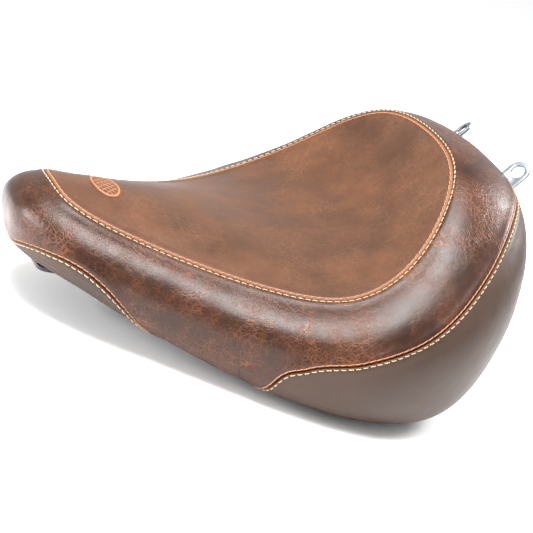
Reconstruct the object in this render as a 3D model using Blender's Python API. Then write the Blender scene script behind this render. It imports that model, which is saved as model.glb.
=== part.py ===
"""Solo motorcycle seat: sewn cover over a foam cushion on a pressed steel base pan.

Frame: +X is the seat's left side, +Y points rearwards (the nose is at -Y), +Z is up.
The origin is under the middle of the seat, level with the feet of its four rubber bumpers.
Lengths in the tables are millimetres; MM turns them to metres where meshes are made.
"""
import math

import bmesh
import bpy
import numpy as np
from mathutils import Matrix, Vector
from mathutils.bvhtree import BVHTree

MM = 0.001
GAP = 0.3                 # clearance between touching pieces

# ---------------------------------------------------------------- driving sizes
COVER = 1.8               # leather-look vinyl with its scrim
PAN = 2.5                 # base pan sheet
SEAM_ALLOWANCE = 1.6      # room inside the cover for the folded edges of its panels
PAN_DEPTH = COVER + 4 * GAP
FOAM_SIDE = COVER + SEAM_ALLOWANCE
FOAM_FLOOR = PAN_DEPTH + PAN + 3 * GAP
STAND = 4.0               # how far the bumpers lift the seat above the drawn base line
SEAM_GAP = 0.9            # half the groove between two panels of the cover
STEEL = 3.0               # tabs and brackets
TONGUE = 3.0
TAB_WIDTH = 22.0
TAB_HOLE = 13.0
TAB_EYE = Vector((56.0, 207.5, 220.0))        # centre of the left tab's hole
TAB_RISE = math.radians(54)                   # the tab leans back from here
TAB_ROLL = math.radians(18)                   # and its outer edge is rolled down
TAB_SHANK = 62.0
TAB_NECK = -8.0                               # the bare end of the tab begins here, below the eye
TAB_BOLTS = (-36.0, -54.0)                    # along the tab, from the eye
BUMPERS = {"front": (36.0, -56.0), "rear": (112.0, 92.0)}
BUMPER_RADIUS = 14.0
TUCK_IN = 17.0            # cover turned in under the pan
TUCK_DOWN = 2.0
STRIP = 2.0               # plastic strip that holds the turned-in cover
STRIP_INSIDE = 12.0       # how far the strip reaches past the cover's raw edge
STRIP_RIVETS = (0.9, 3.0, 4.6, 6.2, 7.6, 8.6)  # stations along each side
RIVET_POCKET = 4.0        # radius of the room in the foam round a rivet's or screw's end

# Lines of the seat's skin, each from the nose centre round the left side to the rear
# centre, at the same eleven stations. They are the control points of a smooth surface.
SEAM = [(0, -202, 107), (32, -200, 103), (52, -180, 96), (72, -141, 90), (99, -83, 85),
        (127, -27, 86), (160, 32, 97), (146, 83, 138), (114, 112, 186), (72, 131, 219),
        (0, 134, 226)]
CREST = [(0, -222, 101), (36, -220, 97), (66, -190, 91), (89, -144, 84), (115, -88, 79),
         (141, -34, 79), (176, 31, 92), (162, 87, 136), (125, 118, 194), (80, 146, 222),
         (0, 151, 229)]
SHOULDER = [(0, -236, 86), (38, -234, 83), (79, -196, 75), (103, -144, 66), (131, -90, 61),
            (163, -40, 65), (203, 26, 80), (186, 98, 125), (146, 146, 183), (90, 183, 216),
            (0, 190, 224)]
WIDEST = [(0, -232, 68), (38, -230, 66), (82, -192, 56), (107, -138, 43), (138, -82, 34),
          (171, -33, 31), (215, 36, 46), (210, 114, 98), (170, 178, 160), (100, 215, 196),
          (0, 219, 202)]
LOW = [(0, -225, 50), (37, -221, 50), (77, -182, 43), (102, -129, 27), (133, -73, 16),
       (165, -23, 10), (209, 48, 14), (203, 130, 45), (164, 194, 92), (96, 232, 126),
       (0, 236, 130)]
EDGE = [(0, -219, 40), (36, -211, 42), (67, -171, 37), (90, -124, 22), (122, -65, 10),
        (153, -14, 6), (192, 55, 5), (181, 138, 6), (138, 192, 24), (85, 228, 42),
        (0, 232, 46)]
# Centre line of the top panel, and of the pan's floor: (y, z) at the same stations.
SPINE = [(-151, 110), (-149, 110), (-141, 111), (-124, 112), (-88, 112), (-44, 110),
         (6, 108), (51, 116), (80, 136), (93, 151), (96, 156)]
FLOOR = [(-150, 40), (-148, 40), (-140, 37), (-118, 29), (-78, 20), (-28, 14), (32, 11),
         (88, 14), (130, 24), (158, 34), (164, 36)]
PANEL_INNER = 0.55        # the panel's middle line lies this far from the centre to the seam
PANEL_CROWN = 0.7         # and this much of the way up from the seam to the centre line
LAST = len(SEAM) - 1      # rear centre station

# Where the skirts are sewn to the band: (station, line), line 0 the top seam, 5 the edge.
FRONT_SEAM = [(0.0, 4.3), (0.5, 4.0), (1.0, 3.5), (1.5, 3.0), (2.0, 2.7), (2.4, 2.8), (2.7, 3.2),
              (2.95, 3.9), (3.1, 4.5), (3.4, 5.8)]
REAR_SEAM = [(4.55, 5.8), (4.75, 4.9), (4.9, 4.1), (5.07, 3.3), (5.4, 2.8), (6.0, 2.62), (6.8, 2.62),
             (7.6, 2.45), (8.4, 2.35), (9.2, 2.5), (10.0, 2.6)]
COLUMNS_PER_STATION = 3
# Rows of corners that every piece shares, so that the layers lie parallel.
PANEL_LINES = [-2.0, -1.6, -1.2, -0.8, -0.45, -0.2]
SIDE_LINES = [0.0, 0.4, 0.9, 1.5, 2.2, 2.9, 3.5, 4.1, 4.72, 5.0, 5.35, 5.7, 6.0]
SKIRT_LINES = SIDE_LINES[4:]
FLOOR_LINES = [6.3, 7.0]


# ---------------------------------------------------------------- scene and materials
for thing in list(bpy.data.objects):
    bpy.data.objects.remove(thing, do_unlink=True)


def make_material(name, colour, roughness, metallic=0.0):
    """A Principled material with a linear base colour."""
    material = bpy.data.materials.new(name)
    material.use_nodes = True
    shader = material.node_tree.nodes["Principled BSDF"]
    shader.inputs["Base Color"].default_value = (*colour, 1.0)
    shader.inputs["Roughness"].default_value = roughness
    shader.inputs["Metallic"].default_value = metallic
    material.diffuse_color = (*colour, 1.0)
    return material


VINYL = make_material("brown vinyl", (0.20, 0.085, 0.035), 0.42)
SKIRT_VINYL = make_material("skirt vinyl", (0.15, 0.088, 0.062), 0.55)
FOAM_MATERIAL = make_material("moulded foam", (0.62, 0.55, 0.38), 0.95)
PAN_MATERIAL = make_material("black coated steel", (0.02, 0.02, 0.022), 0.5, 0.4)
ZINC = make_material("zinc plated steel", (0.55, 0.57, 0.58), 0.35, 1.0)
RUBBER = make_material("black rubber", (0.02, 0.02, 0.02), 0.85)
PLASTIC = make_material("black plastic", (0.03, 0.03, 0.03), 0.6)


# ---------------------------------------------------------------- the seat's skin as a surface
def outward(line):
    """Plan directions square to a line, pointing out of the seat."""
    run = np.roll(line, -1, 0) - np.roll(line, 1, 0)
    run[0] = (1, 0, 0)
    run[-1] = (-1, 0, 0)
    side = np.stack([run[:, 1], -run[:, 0]], 1)
    return side / np.linalg.norm(side, axis=1)[:, None]


def control_nets():
    """Control points of the top panel and of the sides, mirrored past both centre stations."""
    mirror = np.array([-1.0, 1.0, 1.0])
    lift = np.array([0.0, 0.0, STAND])
    seam, crest, shoulder, widest, low, edge = (
        np.array(line, float) + lift for line in (SEAM, CREST, SHOULDER, WIDEST, LOW, EDGE)
    )
    spine = np.array([(0.0, y, z) for y, z in SPINE]) + lift
    inner = spine + (seam - spine) * PANEL_INNER
    inner[:, 2] = seam[:, 2] + (spine[:, 2] - seam[:, 2]) * PANEL_CROWN
    tuck = edge.copy()
    tuck[:, :2] -= outward(edge) * TUCK_IN
    tuck[:, 2] -= TUCK_DOWN
    tuck[[0, -1], 0] = 0.0
    top = np.stack([inner * mirror, spine, inner, seam, 2 * seam - inner])
    side = np.stack([2 * seam - crest, seam, crest, shoulder, widest, low, edge, tuck, 2 * tuck - edge])
    return [np.concatenate([net[:, 1:2] * mirror, net, net[:, -2:-1] * mirror], 1) for net in (top, side)]


TOP_NET, SIDE_NET = control_nets()
PANEL_SPAN = 2            # lines from the spine out to the seam
TUCK_LINE = 6             # the last line, at the cover's turned-in edge


def cubic_weights(t):
    """Uniform cubic B-spline weights of four neighbouring control points."""
    return np.stack([(1 - t) ** 3, 3 * t**3 - 6 * t**2 + 4, -3 * t**3 + 3 * t**2 + 3 * t + 1, t**3], -1) / 6


def net_point(net, station, line, last_line):
    i = np.clip(np.floor(station).astype(int), 0, LAST - 1)
    j = np.clip(np.floor(line).astype(int), 0, last_line - 1)
    along = cubic_weights(station - i)
    across = cubic_weights(line - j)
    total = 0.0
    for a in range(4):
        for b in range(4):
            total = total + net[j + a, i + b] * (across[..., a] * along[..., b])[..., None]
    return total


def surface(station, line):
    """Points of the outer skin. Negative stations are the right side; line runs -2 to 6."""
    station, line = np.broadcast_arrays(np.asarray(station, float), np.asarray(line, float))
    side = np.where(station < 0, -1.0, 1.0)
    folded = np.abs(station)
    folded = np.where(folded > LAST, 2 * LAST - folded, folded)
    on_panel = (line < 0)[..., None]
    points = np.where(
        on_panel,
        net_point(TOP_NET, folded, np.minimum(line, 0) + PANEL_SPAN, PANEL_SPAN),
        net_point(SIDE_NET, folded, np.maximum(line, 0), TUCK_LINE),
    )
    points[..., 0] *= side
    return points


STEP = 1e-3               # small step along the surface, in stations or lines
CENTRE_MARGIN = 0.02
SPINE_MARGIN = 0.04
TUCK_MARGIN = 0.01


def skin(station, line, depth):
    """Points a depth inside the skin, square to it."""
    station = np.asarray(station, float)
    # The direction is measured just off the ends, where the lines run together.
    safe = np.clip(line, SPINE_MARGIN - PANEL_SPAN, TUCK_LINE - TUCK_MARGIN)
    half = np.where(station < 0, -1.0, 1.0)
    inside = half * np.clip(np.abs(station), CENTRE_MARGIN, LAST - CENTRE_MARGIN)
    along = surface(inside + STEP, safe) - surface(inside - STEP, safe)
    across = surface(inside, safe + STEP) - surface(inside, safe - STEP)
    inward = np.cross(along, across)
    inward /= np.linalg.norm(inward, axis=-1)[..., None]
    on_centre = (np.abs(station) < 1e-6) | (np.abs(np.abs(station) - LAST) < 1e-6)
    on_centre |= np.asarray(line) <= -PANEL_SPAN
    inward[..., 0] = np.where(on_centre, 0.0, inward[..., 0])
    return surface(station, line) + inward * np.asarray(depth, float)[..., None]


def floor_spine(station):
    """The floor's centre line under each station."""
    at = np.abs(np.asarray(station, float))
    at = np.where(at > LAST, 2 * LAST - at, at)
    stations = np.arange(LAST + 1)
    y = np.interp(at, stations, [p[0] for p in FLOOR])
    z = np.interp(at, stations, [p[1] for p in FLOOR])
    return np.stack([np.zeros_like(at), y, z + STAND], -1)


def shell_point(station, line, depth):
    """skin() as far as the turned-in edge; past it, the flat floor to the centre line."""
    line = np.asarray(line, float)
    depth = np.asarray(depth, float) + np.zeros_like(line)
    on_skin = skin(station, np.minimum(line, TUCK_LINE), depth)
    centre = floor_spine(station)
    centre[..., 2] += depth
    share = np.clip(line - TUCK_LINE, 0, 1)[..., None]
    return on_skin * (1 - share) + centre * share


# ---------------------------------------------------------------- mesh tools
def finish(name, mesh_data, material, smooth=True):
    """Turn a bmesh into a named object."""
    mesh = bpy.data.meshes.new(name)
    mesh_data.to_mesh(mesh)
    mesh_data.free()
    mesh.materials.append(material)
    if smooth:
        mesh.shade_smooth()
        mesh.set_sharp_from_angle(angle=math.radians(40))
    thing = bpy.data.objects.new(name, mesh)
    bpy.context.scene.collection.objects.link(thing)
    return thing


def add_modifier(thing, kind, **settings):
    modifier = thing.modifiers.new(kind.title(), kind)
    for key, value in settings.items():
        setattr(modifier, key, value)
    return modifier


def sheet(name, place, columns, rows, material):
    """A grid of quads whose corners are set by place(column share, row share)."""
    data = bmesh.new()
    bmesh.ops.create_grid(data, x_segments=columns, y_segments=rows, size=1.0)
    flat = np.array([vert.co[:2] for vert in data.verts])
    spots = place((flat[:, 0] + 1) / 2, (flat[:, 1] + 1) / 2)
    for vert, spot in zip(data.verts, spots):
        vert.co = Vector(spot) * MM
    bmesh.ops.remove_doubles(data, verts=data.verts, dist=1e-6)
    bmesh.ops.dissolve_degenerate(data, edges=data.edges, dist=1e-6)
    bmesh.ops.recalc_face_normals(data, faces=data.faces)
    return finish(name, data, material)


def thicken(thing, thickness):
    """Give a sheet its thickness on its inner side."""
    return add_modifier(thing, "SOLIDIFY", thickness=thickness * MM, offset=-1.0)


def steps(values):
    """Place function for a row share: even shares read from a list of values."""
    shares = np.linspace(0, 1, len(values))
    return lambda share: np.interp(share, shares, values)


def around(share):
    """Share 0 to 1 runs once round the seat, from the rear centre by the right side."""
    return (share * 2 - 1) * LAST


def axis_frame(origin, axis):
    """Matrix that puts local +Z along axis at origin."""
    turn = Vector((0, 0, 1)).rotation_difference(Vector(axis).normalized()).to_matrix().to_4x4()
    return Matrix.Translation(Vector(origin) * MM) @ turn


def turned(name, profile, origin, axis, material, segments=10, closed=False):
    """A turned piece: profile points are (radius, height) along the axis."""
    data = bmesh.new()
    verts = [data.verts.new((radius * MM, 0.0, height * MM)) for radius, height in profile]
    pairs = list(zip(verts, verts[1:])) + ([(verts[-1], verts[0])] if closed else [])
    edges = [data.edges.new(pair) for pair in pairs]
    bmesh.ops.spin(
        data, geom=verts + edges, cent=(0, 0, 0), axis=(0, 0, 1), angle=2 * math.pi, steps=segments,
        use_merge=True, use_duplicate=False,
    )
    bmesh.ops.remove_doubles(data, verts=data.verts, dist=1e-6)
    bmesh.ops.recalc_face_normals(data, faces=data.faces)
    data.transform(axis_frame(origin, axis))
    return finish(name, data, material)


def joined(name, pieces):
    """One cutter from separate closed pieces, hidden from the build."""
    data = bmesh.new()
    for piece in pieces:
        data.from_mesh(piece.data)
        bpy.data.objects.remove(piece, do_unlink=True)
    cutter = finish(name, data, CUTTER, smooth=False)
    cutter.hide_render = True
    cutter.display_type = "WIRE"
    return cutter


CUTTER = make_material("cutter", (1, 0, 1), 0.5)


def cut(thing, cutter):
    add_modifier(thing, "BOOLEAN", operation="DIFFERENCE", solver="EXACT", object=cutter)


def peg(origin, axis, radius, low, high, segments=8):
    """A plain cylinder along an axis, used as a cutter."""
    return turned("peg", [(0, low), (radius, low), (radius, high), (0, high)], origin, axis, CUTTER, segments)


def loft(name, sections, material):
    """A solid bar through four-cornered sections."""
    data = bmesh.new()
    rings = []
    for corners in sections:
        ring = [data.verts.new(Vector(corner) * MM) for corner in corners]
        rings.append([data.edges.new((ring[i - 1], ring[i])) for i in range(4)])
        if len(rings) in (1, len(sections)):
            data.faces.new(ring)
    for first, second in zip(rings, rings[1:]):
        bmesh.ops.bridge_loops(data, edges=first + second)
    bmesh.ops.recalc_face_normals(data, faces=data.faces)
    return finish(name, data, material, smooth=False)


def bar_section(centre, across, through, width, thickness):
    """Four corners of a bar's cross-section."""
    w = Vector(across).normalized() * width / 2
    t = Vector(through).normalized() * thickness / 2
    c = Vector(centre)
    return [c - w - t, c + w - t, c + w + t, c - w + t]


# ---------------------------------------------------------------- base pan
# Pressed steel, 2.5 mm, with a short lip turned up inside the cover all round.
PAN_ROWS = SIDE_LINES[8:] + FLOOR_LINES
pan_row = steps(PAN_ROWS)
base_pan = sheet(
    "base_pan",
    lambda a, b: shell_point(around(a), pan_row(b), PAN_DEPTH),
    2 * LAST * COLUMNS_PER_STATION, len(PAN_ROWS) - 1, PAN_MATERIAL,
)
pan_tree = BVHTree.FromObject(base_pan, bpy.context.evaluated_depsgraph_get())
thicken(base_pan, PAN)


BELOW = 10.0              # a height safely under the seat


def under_pan(x, y):
    """Height of the pan's underside at a point, and the direction square to it, upwards."""
    spot, normal, _, _ = pan_tree.ray_cast(Vector((x, y, -BELOW)) * MM, Vector((0, 0, 1)))
    return spot.z / MM, -normal if normal.z < 0 else normal


# ---------------------------------------------------------------- foam cushion
# One moulding. Its base stands on the pan and its sides fill the cover.
FOAM_ROWS = PANEL_LINES + SIDE_LINES + FLOOR_LINES
FOAM_BASE_LINE = 4.5      # below this line the foam lies on the pan
foam_row = steps(FOAM_ROWS)


def foam_point(a, b):
    line = foam_row(b)
    depth = np.where(line < FOAM_BASE_LINE, FOAM_SIDE, FOAM_FLOOR)
    return shell_point(around(a), line, depth)


foam_cushion = sheet("foam_cushion", foam_point, 2 * LAST * COLUMNS_PER_STATION, len(FOAM_ROWS) - 1,
                     FOAM_MATERIAL)

# ---------------------------------------------------------------- cover
# Five panels of vinyl, sewn edge to edge and turned in under the pan.
PANEL_EDGE = -0.015       # the top panel ends just short of the seam
PANEL_ROWS = PANEL_LINES + [PANEL_EDGE]
panel_row = steps(PANEL_ROWS)
top_panel = sheet(
    "top_panel",
    lambda a, b: shell_point(around(a), panel_row(b), 0.0),
    2 * LAST * COLUMNS_PER_STATION, len(PANEL_ROWS) - 1, VINYL,
)
thicken(top_panel, COVER)


def seam_line(station):
    """The line at which the band ends below: a skirt seam, or the turned-in edge."""
    at = np.abs(np.asarray(station, float))
    front = np.interp(at, *zip(*FRONT_SEAM), right=TUCK_LINE)
    rear = np.interp(at, *zip(*REAR_SEAM), left=TUCK_LINE)
    return np.minimum(front, rear)


FRONT_TIP = FRONT_SEAM[-1][0]
REAR_TIP = REAR_SEAM[0][0]
TIP_GAP = 0.03            # stations between a skirt's pointed end and the band
TIP_ROOM = 0.2            # lines left between a skirt's seam and its lower edge at the tips
SEWN_LIMIT = 0.3          # a seam this close to the tuck line has run out
STEEPEST = 8.0            # limit on how much a steep seam widens its groove
LINE_LENGTH = 26.0        # rough distance between two lines of the side net
STATION_LENGTH = 52.0     # and between two stations
STEEP_STATIONS = (2.5, 2.83, 2.95, 3.08, 3.2, 4.75, 4.83, 4.91, 5.12, 5.22)
HALF = sorted(
    {i / COLUMNS_PER_STATION for i in range(LAST * COLUMNS_PER_STATION + 1)}
    | {FRONT_TIP - TIP_GAP, FRONT_TIP + TIP_GAP, REAR_TIP - TIP_GAP, REAR_TIP + TIP_GAP}
    | set(STEEP_STATIONS)
)
BAND_STATIONS = [-s for s in reversed(HALF[1:])] + HALF
NEAREST_LINE = 0.14       # a row of corners this close to a seam is drawn on to it


def seam_gap(station):
    """Half the groove counted in lines, wider where the seam runs steeply."""
    slope = (seam_line(station + CENTRE_MARGIN) - seam_line(station - CENTRE_MARGIN)) / (2 * CENTRE_MARGIN)
    steep = np.clip(np.abs(slope) * LINE_LENGTH / STATION_LENGTH, 0, STEEPEST)
    return SEAM_GAP / LINE_LENGTH * np.hypot(1, steep)


def band_point(a, b):
    station = steps(BAND_STATIONS)(a)
    line = np.maximum(steps(SIDE_LINES)(b), SEAM_GAP / LINE_LENGTH)
    low = seam_line(station)
    low = np.where(low < TUCK_LINE - SEWN_LIMIT, low - seam_gap(station), TUCK_LINE)
    return shell_point(station, np.where(line > low - NEAREST_LINE, low, line), 0.0)


side_band = sheet("side_band", band_point, len(BAND_STATIONS) - 1, len(SIDE_LINES) - 1, VINYL)
thicken(side_band, COVER)


def skirt(name, stations):
    """A lower panel between its seam and the turned-in edge."""

    def place(a, b):
        station = steps(stations)(a)
        line = steps(SKIRT_LINES)(b)
        top = np.minimum(seam_line(station) + seam_gap(station), TUCK_LINE - TIP_ROOM)
        return shell_point(station, np.where(line < top + NEAREST_LINE, top, line), 0.0)

    panel = sheet(name, place, len(stations) - 1, len(SKIRT_LINES) - 1, SKIRT_VINYL)
    thicken(panel, COVER)
    return panel


front_half = [s for s in HALF if s < FRONT_TIP]
front_skirt = skirt("front_skirt", [-s for s in reversed(front_half[1:])] + front_half)
CENTRE_GAP = 0.01
rear_half = [s for s in HALF if s > REAR_TIP]
rear_half[-1] = LAST - CENTRE_GAP
rear_skirt_left = skirt("rear_skirt_left", rear_half)
rear_skirt_right = skirt("rear_skirt_right", [-s for s in reversed(rear_half)])

# ---------------------------------------------------------------- strip over the cover's raw edge
STRIP_SHARES = [0.0, 0.3, 0.5, 0.6, 1.0]   # over the cover to 0.5, up on to the pan by 0.6
STRIP_START = 5.7         # line where the strip begins on the cover
STRIP_JOG = 2.5


def floor_way(station):
    """The turned-in edge and the direction along the floor from it to the centre line."""
    edge_point = surface(station, TUCK_LINE)
    inward = floor_spine(station) - edge_point
    return edge_point, inward / np.linalg.norm(inward, axis=-1)[..., None]


def strip_point(a, b):
    station = around(a)
    share = steps(STRIP_SHARES)(b)
    line = np.interp(share, [0, 0.5], [STRIP_START, TUCK_LINE])
    depth = np.interp(share, [0.5, 0.6], [-GAP, PAN_DEPTH - GAP])
    reach = np.interp(share, [0.5, 0.6, 1.0], [0, STRIP_JOG, STRIP_INSIDE])
    _, inward = floor_way(station)
    return shell_point(station, line, depth) + inward * reach[..., None]


cover_strip = sheet("cover_strip", strip_point, 2 * LAST * COLUMNS_PER_STATION, len(STRIP_SHARES) - 1,
                    PLASTIC)
add_modifier(cover_strip, "SOLIDIFY", thickness=STRIP * MM, offset=1.0)

# ---------------------------------------------------------------- strip rivets
RIVET_SHANK = 1.9         # radii
RIVET_HEAD = 4.0
RIVET_DOME = 1.8          # height of the domed head
RIVET_UPSET = 1.7         # height of the upset end
STRIP_RIVET_SINK = 1.1    # the strip's rivets stand this much lower than the strip
RIVET_LINE = 0.65         # the rivets' place across the strip
pan_holes = []
strip_holes = []
foam_holes = []


def rivet(name, origin, axis, grip):
    """A rivet: domed head below the origin, shank up through the grip, upset end above."""
    head, shank, top = RIVET_HEAD, RIVET_SHANK, grip + GAP
    profile = [(0, -RIVET_DOME), (head * 0.7, -RIVET_DOME * 0.83), (head, -GAP), (shank, -GAP), (shank, top),
               (shank * 1.6, top), (0, grip + RIVET_UPSET)]
    turned(name, profile, origin, axis, ZINC, segments=8)


for side_name, sign in (("left", 1), ("right", -1)):
    for count, station in enumerate(STRIP_RIVETS, 1):
        edge_point, inward = floor_way(sign * station)
        x, y = (edge_point + inward * STRIP_INSIDE * RIVET_LINE)[:2]
        height, up = under_pan(x, y)
        start = Vector((x, y, height)) - up * (STRIP + GAP + STRIP_RIVET_SINK)
        grip = STRIP + PAN + 6 * GAP
        rivet(f"strip_rivet_{side_name}_{count}", start, up, grip)
        pan_holes.append(peg(start, up, RIVET_SHANK + GAP, STRIP + GAP, grip + 2))
        strip_holes.append(peg(start, up, RIVET_SHANK + GAP, -2, STRIP + 2))
        foam_holes.append(peg(start, up, RIVET_POCKET, grip - 2, grip + 4))

# ---------------------------------------------------------------- rubber bumpers and their screws
COUNTERBORE = (6.5, 5.0)  # radius and depth
SCREW_SHANK = 2.2         # radii
SCREW_HEAD = 5.5
SCREW_HEAD_LOW = 1.5      # the head is this far up inside the foot
SCREW_END = 8.0           # the screw's end above the underside of the pan
CHAMFER = 0.8
FOOT_CHAMFER = 1.5
for place_name, (bx, by) in BUMPERS.items():
    for side_name, sign in (("left", 1), ("right", -1)):
        height, up = under_pan(sign * bx, by)
        r = BUMPER_RADIUS
        bore, sink = COUNTERBORE
        hole = SCREW_SHANK + GAP + 0.1
        # The soft top is moulded to the pan. The foot stays flat.
        profile = [(hole, sink), (bore, sink), (bore, 0), (r - FOOT_CHAMFER, 0), (r, FOOT_CHAMFER), (r, height),
                   (hole, height)]
        bumper = turned(f"bumper_{place_name}_{side_name}", profile, (sign * bx, by, 0), (0, 0, 1), RUBBER,
                        segments=16, closed=True)
        for vert in bumper.data.vertices:
            if vert.co.z > (height - 0.1) * MM:
                top, _ = under_pan(vert.co.x / MM, vert.co.y / MM)
                vert.co.z = (top - 3 * GAP) * MM
        end = height + SCREW_END
        profile = [(0, SCREW_HEAD_LOW), (SCREW_HEAD - CHAMFER, SCREW_HEAD_LOW),
                   (SCREW_HEAD, SCREW_HEAD_LOW + CHAMFER), (SCREW_HEAD, sink - GAP), (SCREW_SHANK, sink - GAP),
                   (SCREW_SHANK, end - 1), (SCREW_SHANK - CHAMFER, end), (0, end)]
        turned(f"bumper_screw_{place_name}_{side_name}", profile, (sign * bx, by, 0), (0, 0, 1), ZINC)
        foot = (sign * bx, by, 0)
        pan_holes.append(peg(foot, (0, 0, 1), SCREW_SHANK + GAP, height - 3, height + 7))
        foam_holes.append(peg(foot, (0, 0, 1), RIVET_POCKET, height + 1.5, end + 2))

# ---------------------------------------------------------------- front tongue
# A cranked steel plate under the nose, coated black with the pan. It hooks under the
# motorcycle's frame.
TONGUE_WIDTH = 36.0
TONGUE_BACK = -147.0
TONGUE_KNEE = -166.0
TONGUE_FRONT = -194.0
TONGUE_DROP = 8.0
TONGUE_CRANK = 7.0        # length of the cranked part
TONGUE_CORNER = 8.0
TONGUE_RIVET_X = 10.0
TONGUE_RIVET_Y = -157.0
half_width = TONGUE_WIDTH / 2
foot_top = min(
    under_pan(x, y)[0]
    for x in (-half_width, -half_width / 2, 0, half_width / 2, half_width)
    for y in (TONGUE_BACK, TONGUE_RIVET_Y, TONGUE_KNEE)
) - GAP
tip_top = foot_top - TONGUE_DROP
side_outline = [
    (TONGUE_BACK, foot_top), (TONGUE_KNEE, foot_top), (TONGUE_KNEE - TONGUE_CRANK, tip_top),
    (TONGUE_FRONT, tip_top), (TONGUE_FRONT, tip_top - TONGUE),
    (TONGUE_KNEE - TONGUE_CRANK - 2, tip_top - TONGUE), (TONGUE_KNEE - 2, foot_top - TONGUE),
    (TONGUE_BACK, foot_top - TONGUE),
]
data = bmesh.new()
outline = [data.verts.new(Vector((-half_width, y, z)) * MM) for y, z in side_outline]
face = data.faces.new(outline)
pushed = bmesh.ops.extrude_face_region(data, geom=[face])
moved = [item for item in pushed["geom"] if isinstance(item, bmesh.types.BMVert)]
bmesh.ops.translate(data, verts=moved, vec=(TONGUE_WIDTH * MM, 0, 0))
bmesh.ops.recalc_face_normals(data, faces=data.faces)
corners = [
    edge for edge in data.edges
    if all(abs(vert.co.y / MM - TONGUE_FRONT) < 0.1 for vert in edge.verts)
    and abs(edge.verts[0].co.z - edge.verts[1].co.z) > MM
]
bmesh.ops.bevel(
    data, geom=corners, offset=TONGUE_CORNER * MM, segments=4, profile=0.5, affect="EDGES", material=-1,
)
front_tongue = finish("front_tongue", data, PAN_MATERIAL)
tongue_holes = []
for side_name, sign in (("left", 1), ("right", -1)):
    spot = (sign * TONGUE_RIVET_X, TONGUE_RIVET_Y, foot_top - TONGUE)
    pan_here = under_pan(spot[0], spot[1])[0]
    grip = pan_here + PAN - spot[2] + 3 * GAP
    rivet(f"tongue_rivet_{side_name}", spot, (0, 0, 1), grip)
    tongue_holes.append(peg(spot, (0, 0, 1), RIVET_SHANK + GAP, -1, TONGUE + 1))
    pan_holes.append(peg(spot, (0, 0, 1), RIVET_SHANK + GAP, TONGUE, grip + 3))
    foam_holes.append(peg(spot, (0, 0, 1), RIVET_POCKET, grip - 2, grip + 4))
cut(front_tongue, joined("cut_tongue", tongue_holes))

# ---------------------------------------------------------------- rear brackets and tabs
# Each bracket is riveted to the pan and stands up in the foam. A flat tab is bolted to its
# top and comes out of the cover at the seam behind the crest.
BRACKET_WIDTH = 20.0
FOOT_MIDDLE = 142.0
FOOT_HALF = 16.0
FOOT_RIVETS = (-8.0, 7.0)      # along the foot from its middle
FOOT_CLEAR = 4 * GAP           # the foot stands this far off the pan
UPRIGHT_BEND = 40.0            # the upright bends this far under the tab
BRACKET_OVER = 9.0             # the bracket reaches this far past the upper bolt
BOLT_HOLE = 3.4                # radii
BOLT_SHANK = 3.0
BOLT_HEAD = 5.8
BOLT_HEAD_HEIGHT = 4.0
BOLT_END = 14.2
NUT_BORE = 3.8
NUT_CORNER = 6.0
NUT_HEIGHT = 5.0
POCKET = 34.0                  # width of the room in the foam round the bracket
EXIT_CLEAR = 2.0               # the slot is this much wider and thicker than the tab
rise = Vector((0, math.cos(TAB_RISE), math.sin(TAB_RISE)))
square = Vector((0, -rise.z, rise.y))
slots = []
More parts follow.
